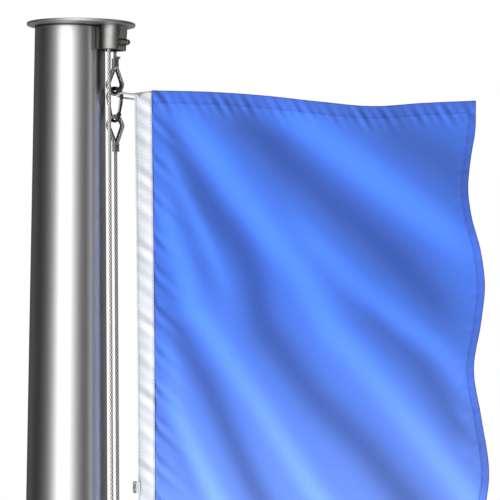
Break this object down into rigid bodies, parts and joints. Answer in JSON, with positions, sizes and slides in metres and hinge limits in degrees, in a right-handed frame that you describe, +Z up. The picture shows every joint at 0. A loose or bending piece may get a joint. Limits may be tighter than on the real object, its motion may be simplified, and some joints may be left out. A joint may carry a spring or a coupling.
{
  "type": "flagpole",
  "caption": "Tapered metal flagpole on a bolted base plate, with an offset disc cap, sheave and cowl, a halyard with snap hooks, a cleat and a small portrait flag.",
  "frame": {"origin": "centre of the base plate's flat underside", "axes": "+Z up along the shaft, +X towards the fly of the flag"},
  "size_m": [0.6874, 0.28, 5.004],
  "materials": {
    "shaft_metal": "satin",
    "base_metal": "satin",
    "cap_metal": "satin",
    "cowl_metal": "satin",
    "cleat_metal": "satin",
    "bright_steel": "polished",
    "hook_metal": "gloss",
    "ferrule_metal": "dull",
    "black_nylon": "matte",
    "white_plastic": "matte",
    "rope": "braided",
    "heading_cloth": "woven",
    "blue_cloth": "woven"
  },
  "bodies": {
    "pole": {"acorn_nut": "bright_steel", "axle_bolt": "bright_steel", "base_plate": "base_metal", "cap_disc": "cap_metal", "cap_spigot": "cap_metal", "cleat": "cleat_metal", "cleat_screws": "bright_steel", "cleat_turns": "rope", "flag_field": "blue_cloth", "flag_heading": "heading_cloth", "gussets": "base_metal", "halyard_lower": "rope", "halyard_middle": "rope", "halyard_upper": "rope", "hoist_clip": "white_plastic", "inner_spacer": "black_nylon", "lower_eye_a": "rope", "lower_eye_b": "rope", "lower_ferrule_a": "ferrule_metal", "lower_ferrule_b": "ferrule_metal", "lower_flag_loop": "rope", "lower_hook": "hook_metal", "lower_rope_tail": "rope", "lower_thimble_a": "black_nylon", "lower_thimble_b": "black_nylon", "outer_spacer": "black_nylon", "shaft": "shaft_metal", "sheave_cheek": "cowl_metal", "sheave_cowl": "cowl_metal", "upper_eye_a": "rope", "upper_eye_b": "rope", "upper_ferrule_a": "ferrule_metal", "upper_ferrule_b": "ferrule_metal", "upper_flag_loop": "rope", "upper_hook": "hook_metal", "upper_rope_tail": "rope", "upper_thimble_a": "black_nylon", "upper_thimble_b": "black_nylon"},
    "sheave_wheel": {"sheave": "black_nylon"},
    "upper_gate": {"upper_hook_gate": "hook_metal"},
    "lower_gate": {"lower_hook_gate": "hook_metal"}
  },
  "joints": [
    {"name": "sheave_spin", "type": "hinge", "parent": "pole", "child": "sheave_wheel", "pos_m": [0.05436, -0.0161, 4.9787], "axis": [0.9588, -0.284, 0], "continuous": true},
    {"name": "upper_gate_swing", "type": "hinge", "parent": "pole", "child": "upper_gate", "pos_m": [0.06333, -0.00967, 4.88821], "axis": [-0.5299, -0.8481, -0.0036], "range_deg": [0, 20], "stiffness_Nm_per_rad": 0.02, "springref_deg": -5.73},
    {"name": "lower_gate_swing", "type": "hinge", "parent": "pole", "child": "lower_gate", "pos_m": [0.07529, -0.00505, 3.90057], "axis": [0.848, -0.5299, 0.0131], "range_deg": [0, 20], "stiffness_Nm_per_rad": 0.02, "springref_deg": -5.73}
  ]
}
